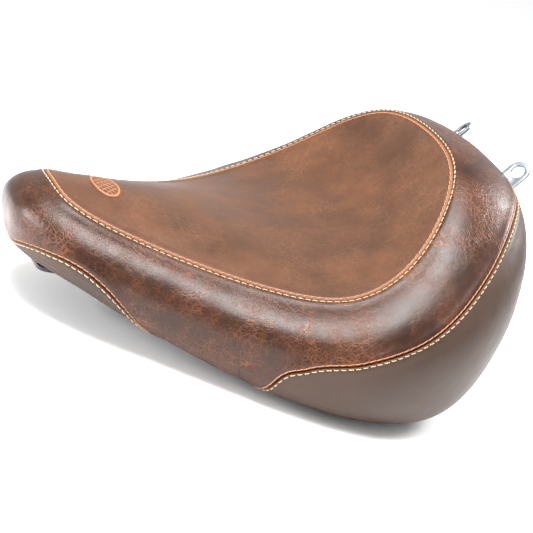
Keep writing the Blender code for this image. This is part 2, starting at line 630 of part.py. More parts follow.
for side_name, sign in (("left", 1), ("right", -1)):
    mirror = Vector((sign, 1, 1))
    eye = TAB_EYE * mirror
    face_up = Vector((sign * math.sin(TAB_ROLL), math.cos(TAB_ROLL) * square.y, math.cos(TAB_ROLL) * square.z))
    across = rise.cross(face_up)

    # flat tab with a round end and a hole
    data = bmesh.new()
    r = TAB_WIDTH / 2
    turn_steps = 10
    arc = [(r * math.cos(math.pi * i / turn_steps), r * math.sin(math.pi * i / turn_steps))
           for i in range(turn_steps + 1)]
    low = -STEEL / 2 * MM
    neck_right, neck_left, end_left, end_right = (
        data.verts.new((x * MM, y * MM, low))
        for x, y in ((r, TAB_NECK), (-r, TAB_NECK), (-r, -TAB_SHANK), (r, -TAB_SHANK))
    )
    round_end = [data.verts.new((x * MM, y * MM, low)) for x, y in arc]
    faces = [data.faces.new([neck_right] + round_end + [neck_left]),
             data.faces.new([end_right, neck_right, neck_left, end_left])]
    pushed = bmesh.ops.extrude_face_region(data, geom=faces)
    moved = [item for item in pushed["geom"] if isinstance(item, bmesh.types.BMVert)]
    bmesh.ops.translate(data, verts=moved, vec=(0, 0, STEEL * MM))
    place = Matrix((across, rise, face_up)).transposed().to_4x4()
    place.translation = eye * MM
    if place.determinant() < 0:
        place = place @ Matrix.Diagonal((-1, 1, 1, 1))
    data.transform(place)
    bmesh.ops.recalc_face_normals(data, faces=data.faces)
    tab = finish(f"rear_tab_{side_name}", data, ZINC)
    eye_cut = [peg(eye, face_up, TAB_HOLE / 2, -STEEL, STEEL, segments=20)]

    # bracket: foot on the pan, upright, and a top that lies on the tab
    plate = STEEL + GAP
    x = eye.x
    foot_level, foot_up = under_pan(x, FOOT_MIDDLE)
    foot_side = Vector((foot_up.z, 0, -foot_up.x)).normalized()
    foot_along = foot_up.cross(foot_side).normalized()
    foot_centre = Vector((x, FOOT_MIDDLE, foot_level)) + foot_up * (PAN + FOOT_CLEAR + STEEL / 2)
    foot_end = foot_centre + foot_along * FOOT_HALF
    lower_end = eye + rise * (-TAB_SHANK - 3) + face_up * plate
    upper_end = eye + rise * (TAB_BOLTS[0] + BRACKET_OVER) + face_up * plate
    side_way = Vector((1, 0, 0))
    tab_way = across if across.x > 0 else -across
    bend_y = foot_end.y
    bend_low = lower_end.z - UPRIGHT_BEND
    sections = [
        bar_section(foot_centre - foot_along * FOOT_HALF, foot_side, foot_up, BRACKET_WIDTH, STEEL),
        bar_section(foot_end, foot_side, foot_up, BRACKET_WIDTH, STEEL),
        bar_section(foot_end + Vector((0, 3, 2.5)), foot_side, (0, -1, 1), BRACKET_WIDTH, STEEL),
        bar_section((x, bend_y + 4.5, foot_end.z + 8), side_way, (0, -1, 0), BRACKET_WIDTH, STEEL),
        bar_section((x, bend_y + 5.5, bend_low), side_way, (0, -1, 0), BRACKET_WIDTH, STEEL),
        bar_section(lower_end, tab_way, face_up, BRACKET_WIDTH, STEEL),
        bar_section(upper_end, tab_way, face_up, BRACKET_WIDTH, STEEL),
    ]
    bracket = loft(f"rear_bracket_{side_name}", sections, ZINC)
    bracket_cut = []

    for count, along in enumerate(TAB_BOLTS, 1):
        spot = eye + rise * along
        head_top = -STEEL / 2 - GAP
        head_low = head_top - BOLT_HEAD_HEIGHT
        bolt = [(0, head_low), (BOLT_HEAD - CHAMFER, head_low), (BOLT_HEAD, head_low + CHAMFER),
                (BOLT_HEAD, head_top), (BOLT_SHANK, head_top), (BOLT_SHANK, BOLT_END - CHAMFER),
                (BOLT_SHANK - CHAMFER, BOLT_END), (0, BOLT_END)]
        turned(f"tab_bolt_{side_name}_{count}", bolt, spot, face_up, ZINC)
        nut_low = plate + STEEL / 2 + GAP
        nut_top = nut_low + NUT_HEIGHT
        nut = [(NUT_BORE, nut_low), (NUT_CORNER, nut_low), (NUT_CORNER, nut_top), (NUT_BORE, nut_top)]
        turned(f"tab_nut_{side_name}_{count}", nut, spot, face_up, ZINC, segments=6, closed=True)
        eye_cut.append(peg(spot, face_up, BOLT_HOLE, -STEEL, STEEL - 1))
        bracket_cut.append(peg(spot, face_up, BOLT_HOLE, STEEL / 2, plate + STEEL))

    for count, along in enumerate(FOOT_RIVETS, 1):
        centre = foot_centre + foot_along * along
        spot = centre - foot_up * (STEEL / 2 + FOOT_CLEAR + PAN + 0.5)
        grip = STEEL + PAN + 6 * GAP
        rivet(f"bracket_rivet_{side_name}_{count}", spot, foot_up, grip)
        bracket_cut.append(peg(spot, foot_up, RIVET_SHANK + GAP, grip - STEEL - 1.5, grip + 2))
        pan_holes.append(peg(spot, foot_up, RIVET_SHANK + GAP, -2, PAN + 1.4))

    cut(tab, joined(f"cut_tab_{side_name}", eye_cut))
    cut(bracket, joined(f"cut_bracket_{side_name}", bracket_cut))

    # room in the foam, open at the pan and at the tab's way out
    box = loft(f"cut_foot_{side_name}", [
        bar_section(foot_centre - foot_along * 22, foot_side, foot_up, POCKET, 22),
        bar_section(foot_centre + foot_along * 40, foot_side, foot_up, POCKET, 22),
    ], CUTTER)
    shaft = loft(f"cut_shaft_{side_name}", [
        bar_section((x, bend_y + 5, foot_end.z - 2), side_way, (0, -1, 0), POCKET - 1, POCKET - 2),
        bar_section((x, bend_y + 6, bend_low - 4), side_way, (0, -1, 0), POCKET - 1, POCKET - 2),
        bar_section(lower_end - rise * 6, tab_way, face_up, POCKET, POCKET + 2),
        bar_section(upper_end + rise * 4, tab_way, face_up, POCKET, POCKET + 2),
    ], CUTTER)
    exit_slot = loft(f"cut_exit_{side_name}", [
        bar_section(eye + rise * end, tab_way, face_up, TAB_WIDTH + EXIT_CLEAR, STEEL + EXIT_CLEAR)
        for end in (TAB_BOLTS[0] - 2, 16)
    ], CUTTER)
    for cutter in (box, shaft, exit_slot):
        cutter.hide_render = True
        cutter.display_type = "WIRE"
        cut(foam_cushion, cutter)
    cut(side_band, exit_slot)
    cut(rear_skirt_left if sign > 0 else rear_skirt_right, exit_slot)

cut(base_pan, joined("cut_pan_holes", pan_holes))
cut(cover_strip, joined("cut_strip_holes", strip_holes))
cut(foam_cushion, joined("cut_foam_holes", foam_holes))
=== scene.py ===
"""Solo motorcycle seat: the looks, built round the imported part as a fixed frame."""
import math

import bmesh
import bpy
import numpy as np
from mathutils import Matrix, Vector, noise
from mathutils.bvhtree import BVHTree


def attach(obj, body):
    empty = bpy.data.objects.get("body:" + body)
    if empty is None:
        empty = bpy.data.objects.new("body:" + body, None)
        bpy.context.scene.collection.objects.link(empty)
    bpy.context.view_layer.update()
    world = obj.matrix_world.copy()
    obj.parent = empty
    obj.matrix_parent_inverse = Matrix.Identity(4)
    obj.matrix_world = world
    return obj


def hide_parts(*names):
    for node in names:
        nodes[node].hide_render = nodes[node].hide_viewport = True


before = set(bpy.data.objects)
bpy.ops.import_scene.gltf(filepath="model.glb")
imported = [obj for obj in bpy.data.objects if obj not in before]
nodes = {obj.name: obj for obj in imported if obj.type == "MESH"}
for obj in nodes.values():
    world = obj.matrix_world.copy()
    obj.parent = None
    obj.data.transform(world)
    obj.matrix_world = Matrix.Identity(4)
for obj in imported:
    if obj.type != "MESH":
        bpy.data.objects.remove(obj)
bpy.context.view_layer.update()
MM = 0.001

# ---------------------------------------------------------------- base pan
# The pan is pressed from 2.5 mm steel sheet and powder coated black. The coat flows a
# little as it bakes, so it is satin with a faint orange peel.


def hex_colour(text):
    """An sRGB hex colour as linear red, green, blue and alpha."""
    channels = [int(text[i:i + 2], 16) / 255 for i in (1, 3, 5)]
    linear = [c / 12.92 if c <= 0.04045 else ((c + 0.055) / 1.055) ** 2.4 for c in channels]
    return (*linear, 1.0)


def start_material(name, colour, roughness, metallic=0.0):
    """A material with a Principled shader, and the shader."""
    material = bpy.data.materials.new(name)
    material.use_nodes = True
    shader = material.node_tree.nodes["Principled BSDF"]
    shader.inputs["Base Color"].default_value = hex_colour(colour)
    shader.inputs["Roughness"].default_value = roughness
    shader.inputs["Metallic"].default_value = metallic
    return material, shader


def add_node(material, kind, settings=None, values=None, links=None):
    """Adds a node with its settings, its input values, and links from other nodes' outputs."""
    node = material.node_tree.nodes.new("ShaderNode" + kind)
    for name, value in (settings or {}).items():
        setattr(node, name, value)
    for name, value in (values or {}).items():
        node.inputs[name].default_value = value
    for name, output in (links or {}).items():
        material.node_tree.links.new(output, node.inputs[name])
    return node


def connect(material, output, target):
    material.node_tree.links.new(output, target)


def paint(thing, material):
    thing.data.materials.clear()
    thing.data.materials.append(material)


ORANGE_PEEL = 1.6          # mm
powder_coat, shader = start_material("powder coated steel", "#1b1b1d", 0.42)
place = add_node(powder_coat, "TexCoord").outputs["Object"]
peel = add_node(powder_coat, "TexNoise", values={"Scale": 1000 / ORANGE_PEEL, "Detail": 1.0},
                links={"Vector": place})
bump = add_node(powder_coat, "Bump", values={"Strength": 0.25, "Distance": 0.0001},
                links={"Height": peel.outputs["Fac"]})
connect(powder_coat, bump.outputs["Normal"], shader.inputs["Normal"])
paint(nodes["base_pan"], powder_coat)
paint(nodes["front_tongue"], powder_coat)

# ---------------------------------------------------------------- strip over the cover's edge
# An extruded black plastic strip clamps the turned-in cover to the pan. It is dull, with
# fine lines along it from the die.
DIE_LINES = 0.9            # mm
strip_plastic, shader = start_material("extruded polypropylene", "#202021", 0.55)
place = add_node(strip_plastic, "TexCoord").outputs["Object"]
lines = add_node(strip_plastic, "TexNoise", values={"Scale": 1000 / DIE_LINES, "Detail": 2.0},
                 links={"Vector": place})
bump = add_node(strip_plastic, "Bump", values={"Strength": 0.3, "Distance": 0.0001},
                links={"Height": lines.outputs["Fac"]})
connect(strip_plastic, bump.outputs["Normal"], shader.inputs["Normal"])
paint(nodes["cover_strip"], strip_plastic)

# ---------------------------------------------------------------- rubber feet
# Moulded rubber, each on its screw. Rubber has no clear gloss, and a dusty bloom lightens
# it in patches.
BLOOM = 90.0               # patches of bloom to the metre
rubber, shader = start_material("moulded rubber", "#17171a", 0.8)
place = add_node(rubber, "TexCoord").outputs["Object"]
bloom = add_node(rubber, "TexNoise", values={"Scale": BLOOM, "Detail": 4.0}, links={"Vector": place})
ramp = add_node(rubber, "ValToRGB", links={"Fac": bloom.outputs["Fac"]})
ramp.color_ramp.elements[0].color = hex_colour("#131315")
ramp.color_ramp.elements[1].color = hex_colour("#2a2a2b")
connect(rubber, ramp.outputs["Color"], shader.inputs["Base Color"])
bump = add_node(rubber, "Bump", values={"Strength": 0.3, "Distance": 0.0002},
                links={"Height": bloom.outputs["Fac"]})
connect(rubber, bump.outputs["Normal"], shader.inputs["Normal"])
for name, thing in nodes.items():
    if name.startswith("bumper_") and "screw" not in name:
        paint(thing, rubber)

# ---------------------------------------------------------------- plated steel
# The brackets, the tabs, the rivets, the bolts and the nuts are bright zinc plate: a
# cool grey metal, a little cloudy, with small changes of gloss.
ZINC_CLOUD = 9.0           # mm
zinc, shader = start_material("zinc plated steel", "#84898e", 0.4, metallic=1.0)
place = add_node(zinc, "TexCoord").outputs["Object"]
cloud = add_node(zinc, "TexNoise", values={"Scale": 1000 / ZINC_CLOUD, "Detail": 5.0},
                 links={"Vector": place})
gloss = add_node(zinc, "MapRange", values={"To Min": 0.26, "To Max": 0.5},
                 links={"Value": cloud.outputs["Fac"]})
connect(zinc, gloss.outputs["Result"], shader.inputs["Roughness"])
tint = add_node(zinc, "ValToRGB", links={"Fac": cloud.outputs["Fac"]})
tint.color_ramp.elements[0].position = 0.3
tint.color_ramp.elements[0].color = hex_colour("#6f757a")
tint.color_ramp.elements[1].position = 0.7
tint.color_ramp.elements[1].color = hex_colour("#8d9398")
connect(zinc, tint.outputs["Color"], shader.inputs["Base Color"])
for name, thing in nodes.items():
    if any(word in name for word in ("rivet", "screw", "bolt", "nut", "bracket", "rear_tab")):
        paint(thing, zinc)

# ---------------------------------------------------------------- foam cushion
# One moulding of polyurethane foam fills the cover and stands on the pan. Its outer form
# is the seat's: a long nose, a dished middle and a tall rolled back.
# Lines of the seat's skin, from the nose centre round the left side to the rear centre.
STAND = 4.0                # mm, the lines are lifted this far to stand on the feet
SEAM = [(0, -202, 107), (32, -200, 103), (52, -180, 96), (72, -141, 90), (99, -83, 85),
        (127, -27, 86), (160, 32, 97), (146, 83, 138), (114, 112, 186), (72, 131, 219),
        (0, 134, 226)]
CREST = [(0, -222, 101), (36, -220, 97), (66, -190, 91), (89, -144, 84), (115, -88, 79),
         (141, -34, 79), (176, 31, 92), (162, 87, 136), (125, 118, 194), (80, 146, 222),
         (0, 151, 229)]
SHOULDER = [(0, -236, 86), (38, -234, 83), (79, -196, 75), (103, -144, 66), (131, -90, 61),
            (163, -40, 65), (203, 26, 80), (186, 98, 125), (146, 146, 183), (90, 183, 216),
            (0, 190, 224)]
WIDEST = [(0, -232, 68), (38, -230, 66), (82, -192, 56), (107, -138, 43), (138, -82, 34),
          (171, -33, 31), (215, 36, 46), (210, 114, 98), (170, 178, 160), (100, 215, 196),
          (0, 219, 202)]
LOW = [(0, -225, 50), (37, -221, 50), (77, -182, 43), (102, -129, 27), (133, -73, 16),
       (165, -23, 10), (209, 48, 14), (203, 130, 45), (164, 194, 92), (96, 232, 126),
       (0, 236, 130)]
EDGE = [(0, -219, 40), (36, -211, 42), (67, -171, 37), (90, -124, 22), (122, -65, 10),
        (153, -14, 6), (192, 55, 5), (181, 138, 6), (138, 192, 24), (85, 228, 42),
        (0, 232, 46)]
SPINE = [(-151, 110), (-149, 110), (-141, 111), (-124, 112), (-88, 112), (-44, 110),
         (6, 108), (51, 116), (80, 136), (93, 151), (96, 156)]
FLOOR = [(-150, 40), (-148, 40), (-140, 37), (-118, 29), (-78, 20), (-28, 14), (32, 11),
         (88, 14), (130, 24), (158, 34), (164, 36)]
PANEL_INNER = 0.55
PANEL_CROWN = 0.7
TUCK_IN = 17.0
TUCK_DOWN = 2.0
LAST = len(SEAM) - 1
PANEL_SPAN = 2
TUCK_LINE = 6
COVER = 1.8
FOAM_SIDE = 3.4
FOAM_FLOOR = 6.4


def outward(line):
    """Plan directions square to a line, pointing out of the seat."""
    run = np.roll(line, -1, 0) - np.roll(line, 1, 0)
    run[0] = (1, 0, 0)
    run[-1] = (-1, 0, 0)
    side = np.stack([run[:, 1], -run[:, 0]], 1)
    return side / np.linalg.norm(side, axis=1)[:, None]


def control_nets():
    """Control points of the top panel and of the sides, mirrored past both centre stations."""
    mirror = np.array([-1.0, 1.0, 1.0])
    lift = np.array([0.0, 0.0, STAND])
    seam, crest, shoulder, widest, low, edge = (
        np.array(line, float) + lift for line in (SEAM, CREST, SHOULDER, WIDEST, LOW, EDGE)
    )
    spine = np.array([(0.0, y, z) for y, z in SPINE]) + lift
    inner = spine + (seam - spine) * PANEL_INNER
    inner[:, 2] = seam[:, 2] + (spine[:, 2] - seam[:, 2]) * PANEL_CROWN
    tuck = edge.copy()
    tuck[:, :2] -= outward(edge) * TUCK_IN
    tuck[:, 2] -= TUCK_DOWN
    tuck[[0, -1], 0] = 0.0
    top = np.stack([inner * mirror, spine, inner, seam, 2 * seam - inner])
    side = np.stack([2 * seam - crest, seam, crest, shoulder, widest, low, edge, tuck, 2 * tuck - edge])
    return [np.concatenate([net[:, 1:2] * mirror, net, net[:, -2:-1] * mirror], 1) for net in (top, side)]


TOP_NET, SIDE_NET = control_nets()


def cubic_weights(t):
    """Uniform cubic B-spline weights of four neighbouring control points."""
    return np.stack([(1 - t) ** 3, 3 * t**3 - 6 * t**2 + 4, -3 * t**3 + 3 * t**2 + 3 * t + 1, t**3], -1) / 6


def net_point(net, station, line, last_line):
    i = np.clip(np.floor(station).astype(int), 0, LAST - 1)
    j = np.clip(np.floor(line).astype(int), 0, last_line - 1)
    along = cubic_weights(station - i)
    across = cubic_weights(line - j)
    total = 0.0
    for a in range(4):
        for b in range(4):
            total = total + net[j + a, i + b] * (across[..., a] * along[..., b])[..., None]
    return total


def surface(station, line):
    """Points of the outer skin. Negative stations are the right side; line runs -2 to 6."""
    station, line = np.broadcast_arrays(np.asarray(station, float), np.asarray(line, float))
    side = np.where(station < 0, -1.0, 1.0)
    folded = np.abs(station)
    folded = np.where(folded > LAST, 2 * LAST - folded, folded)
    points = np.where(
        (line < 0)[..., None],
        net_point(TOP_NET, folded, np.minimum(line, 0) + PANEL_SPAN, PANEL_SPAN),
        net_point(SIDE_NET, folded, np.maximum(line, 0), TUCK_LINE),
    )
    points[..., 0] *= side
    return points


STEP = 1e-3                # of a station or a line, for slopes
END_MARGIN = 0.02          # of a station, kept from the centre plane
TUCK_MARGIN = 0.01         # of a line, kept from the turned-in edge
TINY = 1e-9
ON_PLANE = 1e-6            # of a station


def runs(station, line):
    """How the skin runs along the stations and across the lines, at points just off its edges."""
    near = np.sign(station + TINY) * np.clip(np.abs(station), END_MARGIN, LAST - END_MARGIN)
    line = np.clip(line, STEP - PANEL_SPAN, TUCK_LINE - TUCK_MARGIN)
    over = line >= 0
    low = np.where(over, np.maximum(line - STEP, 0.0), line - STEP)
    high = np.where(over, line + STEP, np.minimum(line + STEP, -TINY))
    along = (surface(near + STEP, line) - surface(near - STEP, line)) / (2 * STEP)
    across = (surface(near, high) - surface(near, low)) / (high - low)[..., None]
    return along, across


def skin(station, line, depth):
    """Points a depth inside the skin, square to it. A negative depth stands proud of it."""
    along, across = runs(station, line)
    inward = np.cross(along, across)
    inward /= np.linalg.norm(inward, axis=-1)[..., None]
    from_middle = np.abs(station)
    centre = (from_middle < ON_PLANE) | (np.abs(from_middle - LAST) < ON_PLANE) | (line <= -PANEL_SPAN)
    inward[..., 0] = np.where(centre, 0.0, inward[..., 0])
    return surface(station, line) + inward * np.asarray(depth, float)[..., None]


def floor_point(station, depth):
    """The floor's centre line under each station."""
    at = np.abs(np.asarray(station, float))
    y = np.interp(at, np.arange(LAST + 1), [p[0] for p in FLOOR])
    z = np.interp(at, np.arange(LAST + 1), [p[1] for p in FLOOR])
    return np.stack([np.zeros_like(at), y, z + STAND + depth], -1)


WELD = 2e-6                # m, corners nearer than this are one
CENTRE_SLACK = 1e-7        # m


def grid_piece(name, place_points, columns, rows, material):
    """A smooth piece from a grid whose corners are set by place_points(column, row)."""
    data = bmesh.new()
    bmesh.ops.create_grid(data, x_segments=columns, y_segments=rows, size=1.0)
    mesh = bpy.data.meshes.new(name)
    data.to_mesh(mesh)
    data.free()
    flat = np.zeros(len(mesh.vertices) * 3)
    mesh.vertices.foreach_get("co", flat)
    flat = flat.reshape(-1, 3)
    column = np.rint((flat[:, 0] + 1) / 2 * columns).astype(int)
    row = np.rint((flat[:, 1] + 1) / 2 * rows).astype(int)
    spots, marks = place_points(column, row)
    mesh.vertices.foreach_set("co", (spots * MM).astype(np.float32).ravel())
    for mark, values in marks.items():
        mesh.attributes.new(mark, "FLOAT", "POINT").data.foreach_set("value", values.astype(np.float32))
    data = bmesh.new()
    data.from_mesh(mesh)
    bmesh.ops.remove_doubles(data, verts=data.verts, dist=WELD)
    bmesh.ops.dissolve_degenerate(data, edges=data.edges, dist=WELD)
    walls = [face for face in data.faces if all(abs(vert.co.x) < CENTRE_SLACK for vert in face.verts)]
    bmesh.ops.delete(data, geom=walls, context="FACES")
    bmesh.ops.holes_fill(data, edges=data.edges, sides=0)
    bmesh.ops.recalc_face_normals(data, faces=data.faces)
    data.to_mesh(mesh)
    data.free()
    mesh.shade_smooth()
    mesh.materials.append(material)
    thing = bpy.data.objects.new(name, mesh)
    bpy.context.scene.collection.objects.link(thing)
    return thing


FOAM_CELL = 1.4            # mm, the open cells of cut foam
STAIN = 14.0               # yellowed patches to the metre
foam_material, shader = start_material("moulded polyurethane foam", "#c9b98c", 0.95)
place = add_node(foam_material, "TexCoord").outputs["Object"]
cells = add_node(foam_material, "TexVoronoi", values={"Scale": 1000 / FOAM_CELL}, links={"Vector": place})
stain = add_node(foam_material, "TexNoise", values={"Scale": STAIN, "Detail": 3.0}, links={"Vector": place})
ramp = add_node(foam_material, "ValToRGB", links={"Fac": stain.outputs["Fac"]})
ramp.color_ramp.elements[0].color = hex_colour("#b9a673")
ramp.color_ramp.elements[1].color = hex_colour("#d8cba2")
connect(foam_material, ramp.outputs["Color"], shader.inputs["Base Color"])
bump = add_node(foam_material, "Bump", values={"Strength": 0.6, "Distance": 0.0005},
                links={"Height": cells.outputs["Distance"]})
connect(foam_material, bump.outputs["Normal"], shader.inputs["Normal"])

FOAM_LINES = np.concatenate([np.linspace(-2, -0.2, 12), np.linspace(0, 4.2, 26), np.linspace(4.72, 7, 12)])
FOAM_BASE_LINE = 4.5       # below this line the foam lies on the pan
FOAM_COLUMNS = 240


def foam_points(column, row):
    station = (column / FOAM_COLUMNS * 2 - 1) * LAST
    line = FOAM_LINES[row]
    depth = np.where(line < FOAM_BASE_LINE, FOAM_SIDE, FOAM_FLOOR)
    wall = skin(station, np.minimum(line, TUCK_LINE), depth)
    share = np.clip(line - TUCK_LINE, 0, 1)[:, None]
    return wall * (1 - share) + floor_point(station, depth).reshape(-1, 3) * share, {}


foam = grid_piece("foam_cushion_form", foam_points, FOAM_COLUMNS, len(FOAM_LINES) - 1, foam_material)
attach(foam, "root")
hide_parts("foam_cushion")

# ---------------------------------------------------------------- vinyl of the cover
# Leather-look vinyl with a distressed finish: a dark red-brown top colour that is rubbed
# thin, so the tan ground shows along the creases. It is semi-gloss, and the grain is fine.
GRAIN = 0.9                # mm, the pebbles of the emboss
CREASES = ((8.0, 1.0, 0.04), (4.2, 0.85, 0.05), (2.3, 0.6, 0.08))  # mm apart, strength, breadth
MOTTLE = 55.0              # mm across a darker or lighter patch
RUB = 42.0                 # mm across an area with many creases
WANDER = 12.0              # mm from one bend of a crease to the next
SWING = 0.008              # m, how far a crease bends aside
EDGE_TAN = "#94623f"       # where a folded edge is rubbed
NEEDLE_HOLE_SHADE = "#140a05"      # painted shade in a needle hole


def vinyl(name, deep, body, pale, roughness, creased):
    """Distressed vinyl. creased is how far the tan creases show, 0 to 1."""
    material, shader = start_material(name, body, roughness)
    place = add_node(material, "TexCoord").outputs["Object"]
    wander = add_node(material, "TexNoise", values={"Scale": 1000 / WANDER, "Detail": 5.0},
                      links={"Vector": place})
    swing = add_node(material, "VectorMath", {"operation": "SCALE"}, {"Scale": SWING},
                     {"Vector": wander.outputs["Color"]})
    bent = add_node(material, "VectorMath", {"operation": "ADD"},
                    links={0: place, 1: swing.outputs["Vector"]})
    mottle = add_node(material, "TexNoise", values={"Scale": 1000 / MOTTLE, "Detail": 7.0, "Roughness": 0.62},
                      links={"Vector": place})
    tone = add_node(material, "ValToRGB", links={"Fac": mottle.outputs["Fac"]})
    tone.color_ramp.elements[0].position = 0.36
    tone.color_ramp.elements[0].color = hex_colour(deep)
    tone.color_ramp.elements[1].position = 0.66
    tone.color_ramp.elements[1].color = hex_colour(body)

    rub = add_node(material, "TexNoise", values={"Scale": 1000 / RUB, "Detail": 5.0, "Roughness": 0.65},
                   links={"Vector": place})
    where = add_node(material, "MapRange", values={"From Min": 0.36, "From Max": 0.72, "To Max": creased},
                     links={"Value": rub.outputs["Fac"]})
    webs = None
    for size, share, breadth in CREASES:
        web = add_node(material, "TexVoronoi", {"feature": "DISTANCE_TO_EDGE"}, {"Scale": 1000 / size},
                       {"Vector": bent.outputs["Vector"]})
        line = add_node(material, "MapRange", values={"From Max": breadth, "To Min": share, "To Max": 0.0},
                        links={"Value": web.outputs["Distance"]})
        if webs is None:
            webs = line
        else:
            webs = add_node(material, "Math", {"operation": "MAXIMUM"},
                            links={0: webs.outputs[0], 1: line.outputs[0]})
    worn = add_node(material, "Math", {"operation": "MULTIPLY"},
                    links={0: webs.outputs[0], 1: where.outputs[0]})
    coloured = add_node(material, "Mix", {"data_type": "RGBA"}, {"B": hex_colour(pale)},
                        {"Factor": worn.outputs[0], "A": tone.outputs["Color"]})

    edge = add_node(material, "Attribute", {"attribute_name": "edge_wear"})
    edged = add_node(material, "Mix", {"data_type": "RGBA"}, {"B": hex_colour(EDGE_TAN)},
                     {"Factor": edge.outputs["Fac"], "A": coloured.outputs["Result"]})
    # Needle holes are darkened: painted shade in the holes.
    needle = add_node(material, "Attribute", {"attribute_name": "needle"})
    hole_shaded = add_node(material, "Mix", {"data_type": "RGBA"}, {"B": hex_colour(NEEDLE_HOLE_SHADE)},
                     {"Factor": needle.outputs["Fac"], "A": edged.outputs["Result"]})
    connect(material, hole_shaded.outputs["Result"], shader.inputs["Base Color"])

    gloss = add_node(material, "MapRange",
                     values={"From Min": 0.3, "From Max": 0.7, "To Min": roughness - 0.05,
                             "To Max": roughness + 0.09},
                     links={"Value": mottle.outputs["Fac"]})
    connect(material, gloss.outputs["Result"], shader.inputs["Roughness"])
    pebble = add_node(material, "TexNoise", values={"Scale": 1000 / GRAIN, "Detail": 2.0},
                      links={"Vector": place})
    grain = add_node(material, "Bump", values={"Strength": 0.3, "Distance": 0.0001},
                     links={"Height": pebble.outputs["Fac"]})
    creases = add_node(material, "Bump", {"invert": True}, {"Strength": 0.45, "Distance": 0.0004},
                       {"Height": worn.outputs[0], "Normal": grain.outputs["Normal"]})
    waves = add_node(material, "Bump", values={"Strength": 0.35, "Distance": 0.001},
                     links={"Height": wander.outputs["Fac"], "Normal": creases.outputs["Normal"]})
    connect(material, waves.outputs["Normal"], shader.inputs["Normal"])
    shader.inputs["Specular IOR Level"].default_value = 0.35
    return material


# The top panel and the band are one vinyl. The top's lighter colours are painted light from above, and the
# band's darker ones are painted shade.
top_vinyl_painted_lit = vinyl("distressed vinyl top", "#3a2110", "#4f2e18", "#7c5436", 0.4, 0.5)
band_vinyl_painted_shade = vinyl("distressed vinyl sides", "#1c0a01", "#301403", "#874c24", 0.33, 0.75)
skirt_vinyl = vinyl("plain brown vinyl", "#2f1f15", "#3b281c", "#50392a", 0.45, 0.15)

# ---------------------------------------------------------------- top panel of the cover
# One piece of vinyl from the nose to the rear crest. Its edge is folded down into the
# seam, where the band begins.
COLUMN = 1.05              # mm between columns of the mesh along a seam
SEAM_SPLIT = 0.12          # mm from the seam's middle to each folded edge
ROLL_DEPTH = 1.3           # the folded edge rolls down this far
ROLL_WIDTH = 1.7
WELT_RISE = 0.8            # the folded allowances underneath lift both sides of a seam
WELT_START = (0.2, 1.2)    # mm from the seam, where that lift comes in
WELT_END = (4.5, 10.0)     # and where it fades
ROW_SINK = 0.35            # the thread pulls the cover down along its row
SINK_WIDTH = 0.8
NEEDLE_DIP = 0.4           # more at each needle hole
PITCH = 6.1                # mm from stitch to stitch
ROW = 2.1                  # mm from the seam to the row of stitches on each side
NEEDLE = 0.6               # mm, radius of a needle hole
EDGE_STEPS = np.array([0.0, 0.3, 0.6, 1.0, 1.4, 1.8, 2.3, 2.8, 3.4, 4.2, 5.2, 6.6, 8.6, 11.5])
INNER_STEPS = 7


def smooth(low, high, value):
    t = np.clip((value - low) / (high - low), 0, 1)
    return t * t * (3 - 2 * t)


def square_rate(station, line, seam_line):
    """Millimetres square to a seam for each line crossed at a station."""
    along, across = runs(station, line)
    tilt = (seam_line(station + STEP) - seam_line(station - STEP)) / (2 * STEP)
    course = along + across * tilt[..., None]
    course /= np.linalg.norm(course, axis=-1)[..., None]
    return np.linalg.norm(np.cross(across, course), axis=-1)


def seam_stations(first, last, seam_line, spacing):
    """Stations evenly spaced along a seam."""
    fine = np.linspace(first, last, 4001)
    points = surface(fine, seam_line(fine))
    length = np.concatenate([[0], np.cumsum(np.linalg.norm(np.diff(points, axis=0), axis=1))])
    count = max(8, round(length[-1] / spacing))
    return np.interp(np.linspace(0, length[-1], count + 1), length, fine)


def top_line(station):
    return np.zeros_like(np.asarray(station, float))


def seam_height(distance):
    """How far the cover stands proud of the skin, by its distance from a seam."""
    roll = -ROLL_DEPTH * np.clip(1 - distance / ROLL_WIDTH, 0, 1) ** 2
    welt = WELT_RISE * smooth(*WELT_START, distance) * (1 - smooth(*WELT_END, distance))
    return roll + welt - ROW_SINK * np.exp(-((distance - ROW) / SINK_WIDTH) ** 2)


def row_lengths(stations, lines):
    """Length along a seam, from its first station to each."""
    points = surface(stations, lines)
    return np.concatenate([[0], np.cumsum(np.linalg.norm(np.diff(points, axis=0), axis=1))])


def even_pitch(lengths):
    return lengths[-1] / round(lengths[-1] / PITCH)


def needle_marks(distance, length, pitch):
    """Needle holes along a row of stitches, 0 to 1. The cover dips there, and the holes are painted dark as
    shade.
    """
    off = (length / pitch - np.floor(length / pitch + 0.5)) * pitch
    return np.exp(-(off**2 + (distance - ROW) ** 2) / NEEDLE**2)


def ripple(points, size, height):
    """A slow unevenness of the foam under the cover."""
    return np.array([noise.noise(Vector(p / size)) for p in points]) * height


def loop_rows(outer_lines):
    """Rows once round a panel's cross-section: its face, then its back."""
    outer = outer_lines.shape[0]
    back = np.rint(np.linspace(outer - 1, 0, INNER_STEPS)).astype(int)
    return np.concatenate([np.arange(outer), back, [0]]), outer


def on_face(row, rows, outer):
    """Which corners are on a panel's face. The others are on its back."""
    return (row < outer) | (row == len(rows) - 1)


def cover_depth(proud, face):
    """Depth of a panel's face, or of its back one thickness below."""
    return np.where(face, -proud, COVER - np.minimum(proud, 0))


